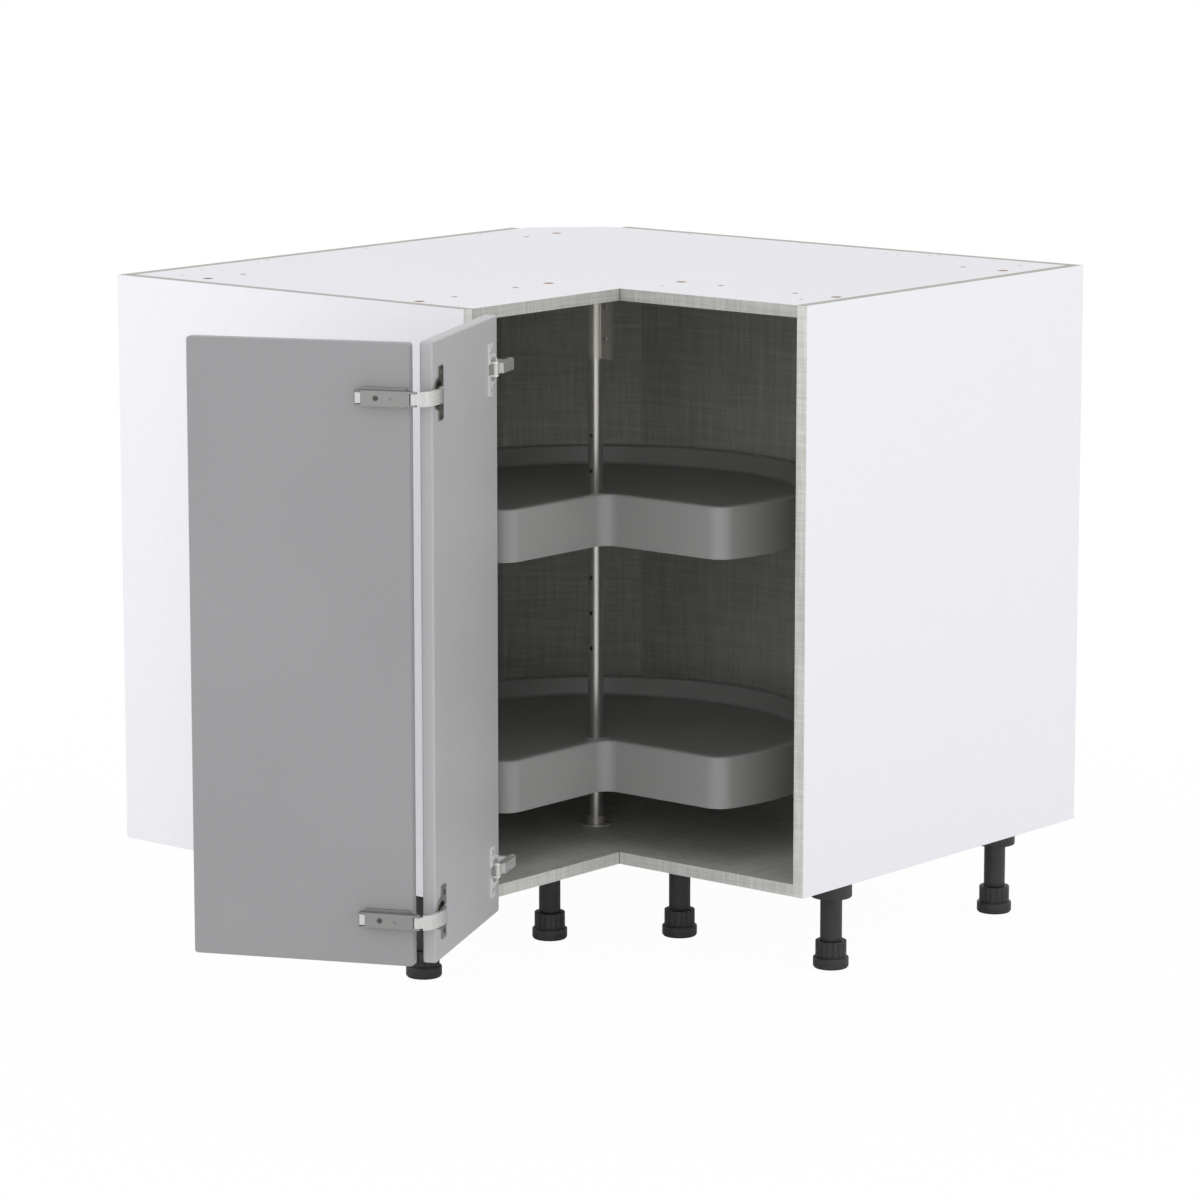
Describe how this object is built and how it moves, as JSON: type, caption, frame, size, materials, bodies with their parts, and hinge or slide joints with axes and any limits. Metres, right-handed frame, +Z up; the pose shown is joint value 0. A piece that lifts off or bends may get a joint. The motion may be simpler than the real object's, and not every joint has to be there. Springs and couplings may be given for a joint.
{
  "type": "corner carousel cabinet",
  "caption": "L-shaped corner base cabinet on adjustable legs, with a door hinged in the middle and pie-cut trays turning on a pole.",
  "frame": {"origin": "Centre of the whole object's box in plan, with the door open as in the picture, and the floor in height", "axes": "+Z up; the left wing's end panel faces -Y, the right wing's end panel faces +X and the room's corner is at -X +Y"},
  "size_m": [0.9144, 1.3068, 0.8763],
  "materials": {
    "white_board": "White melamine-faced chipboard, grey linen edging",
    "grey_board": "Grey linen melamine-faced chipboard",
    "door_front": "Grey satin lacquer on fibreboard",
    "tray_plastic": "Grey moulded plastic, fine grain",
    "pole_steel": "Brushed stainless steel",
    "hinge_nickel": "Nickel-plated pressed steel",
    "fastener_steel": "Plated steel",
    "leg_plastic": "Charcoal moulded plastic"
  },
  "bodies": {
    "carcass": {"left_end_panel": "white_board", "right_end_panel": "white_board", "left_back_panel": "white_board", "right_back_panel": "white_board", "corner_back_panel": "grey_board", "bottom_board_left": "grey_board", "bottom_board_right": "grey_board", "top_board_left": "white_board", "top_board_right": "white_board", "leg_body_1": "leg_plastic", "leg_body_2": "leg_plastic", "leg_body_3": "leg_plastic", "leg_body_4": "leg_plastic", "leg_body_5": "leg_plastic", "leg_body_6": "leg_plastic", "leg_body_7": "leg_plastic", "pole": "pole_steel", "pole_base": "pole_steel", "pole_top_bracket": "pole_steel", "clamp_screw_1": "fastener_steel", "clamp_screw_2": "fastener_steel", "upper_tray_collar": "fastener_steel", "lower_tray_collar": "fastener_steel", "upper_collar_screw": "fastener_steel", "lower_collar_screw": "fastener_steel", "upper_hinge_arm": "hinge_nickel", "lower_hinge_arm": "hinge_nickel", "upper_hinge_plate": "hinge_nickel", "lower_hinge_plate": "hinge_nickel"},
    "inner_links": {"upper_inner_link": "hinge_nickel", "lower_inner_link": "hinge_nickel"},
    "outer_links": {"upper_outer_link": "hinge_nickel", "lower_outer_link": "hinge_nickel"},
    "hinged_door": {"hinged_door_leaf": "door_front", "upper_hinge_cup": "hinge_nickel", "lower_hinge_cup": "hinge_nickel", "upper_fold_cup": "hinge_nickel", "lower_fold_cup": "hinge_nickel"},
    "fold_links": {"upper_fold_link": "hinge_nickel", "lower_fold_link": "hinge_nickel"},
    "folding_door": {"folding_door_leaf": "door_front", "upper_fold_arm": "hinge_nickel", "lower_fold_arm": "hinge_nickel", "upper_fold_plate": "hinge_nickel", "lower_fold_plate": "hinge_nickel"},
    "upper_tray": {"upper_tray_floor": "tray_plastic", "upper_tray_rim": "tray_plastic"},
    "lower_tray": {"lower_tray_floor": "tray_plastic", "lower_tray_rim": "tray_plastic"},
    "foot_1": {"levelling_foot_1": "leg_plastic"},
    "foot_2": {"levelling_foot_2": "leg_plastic"},
    "foot_3": {"levelling_foot_3": "leg_plastic"},
    "foot_4": {"levelling_foot_4": "leg_plastic"},
    "foot_5": {"levelling_foot_5": "leg_plastic"},
    "foot_6": {"levelling_foot_6": "leg_plastic"},
    "foot_7": {"levelling_foot_7": "leg_plastic"},
    "upper_hinge_clip": {"upper_hinge_clip": "fastener_steel"},
    "upper_fold_clip": {"upper_fold_clip": "fastener_steel"},
    "lower_hinge_clip": {"lower_hinge_clip": "fastener_steel"},
    "lower_fold_clip": {"lower_fold_clip": "fastener_steel"}
  },
  "joints": [
    {"name": "inner_link_turn", "type": "hinge", "parent": "carcass", "child": "inner_links", "pos_m": [0.136, -0.23475, 0.49], "axis": [0, 0, -1], "range_deg": [-77.2, 0]},
    {"name": "outer_link_turn", "type": "hinge", "parent": "inner_links", "child": "outer_links", "pos_m": [0.19088, -0.21599, 0.49], "axis": [0, 0, -1], "range_deg": [0, 81.4]},
    {"name": "door_swing", "type": "hinge", "parent": "outer_links", "child": "hinged_door", "pos_m": [0.21516, -0.27304, 0.49], "axis": [0, 0, -1], "range_deg": [-159.1, 0]},
    {"name": "fold_link_turn", "type": "hinge", "parent": "hinged_door", "child": "fold_links", "pos_m": [0.31465, -0.48661, 0.49], "axis": [0, 0, 1], "range_deg": [0, 30]},
    {"name": "door_fold", "type": "hinge", "parent": "fold_links", "child": "folding_door", "pos_m": [0.32216, -0.54272, 0.49], "axis": [0, 0, 1], "range_deg": [0, 30]},
    {"name": "upper_tray_turn", "type": "hinge", "parent": "carcass", "child": "upper_tray", "pos_m": [0.021, 0.15225, 0.57], "axis": [0, 0, 1], "range_deg": [0, 360]},
    {"name": "lower_tray_turn", "type": "hinge", "parent": "carcass", "child": "lower_tray", "pos_m": [0.021, 0.15225, 0.242], "axis": [0, 0, 1], "range_deg": [0, 360]},
    {"name": "foot_1_level", "type": "slide", "parent": "carcass", "child": "foot_1", "axis": [0, 0, -1], "range_m": [0, 0.02]},
    {"name": "foot_2_level", "type": "slide", "parent": "carcass", "child": "foot_2", "axis": [0, 0, -1], "range_m": [0, 0.02]},
    {"name": "foot_3_level", "type": "slide", "parent": "carcass", "child": "foot_3", "axis": [0, 0, -1], "range_m": [0, 0.02]},
    {"name": "foot_4_level", "type": "slide", "parent": "carcass", "child": "foot_4", "axis": [0, 0, -1], "range_m": [0, 0.02]},
    {"name": "foot_5_level", "type": "slide", "parent": "carcass", "child": "foot_5", "axis": [0, 0, -1], "range_m": [0, 0.02]},
    {"name": "foot_6_level", "type": "slide", "parent": "carcass", "child": "foot_6", "axis": [0, 0, -1], "range_m": [0, 0.02]},
    {"name": "foot_7_level", "type": "slide", "parent": "carcass", "child": "foot_7", "axis": [0, 0, -1], "range_m": [0, 0.02]},
    {"name": "upper_hinge_clip_press", "type": "hinge", "parent": "carcass", "child": "upper_hinge_clip", "pos_m": [0.0702, -0.24005, 0.808], "axis": [0, 0, 1], "range_deg": [0, 10], "stiffness_Nm_per_rad": 0.02},
    {"name": "upper_fold_clip_press", "type": "hinge", "parent": "folding_door", "child": "upper_fold_clip", "pos_m": [0.25956, -0.5642, 0.808], "axis": [0, 0, -1], "range_deg": [0, 10], "stiffness_Nm_per_rad": 0.02},
    {"name": "lower_hinge_clip_press", "type": "hinge", "parent": "carcass", "child": "lower_hinge_clip", "pos_m": [0.0702, -0.24005, 0.1723], "axis": [0, 0, 1], "range_deg": [0, 10], "stiffness_Nm_per_rad": 0.02},
    {"name": "lower_fold_clip_press", "type": "hinge", "parent": "folding_door", "child": "lower_fold_clip", "pos_m": [0.25956, -0.5642, 0.1723], "axis": [0, 0, -1], "range_deg": [0, 10], "stiffness_Nm_per_rad": 0.02}
  ],
  "couplings": [
    {"joint": "inner_link_turn", "follows": "door_swing", "ratio": 0.4852},
    {"joint": "outer_link_turn", "follows": "door_swing", "ratio": -0.5116},
    {"joint": "fold_link_turn", "follows": "door_fold", "ratio": 1}
  ]
}
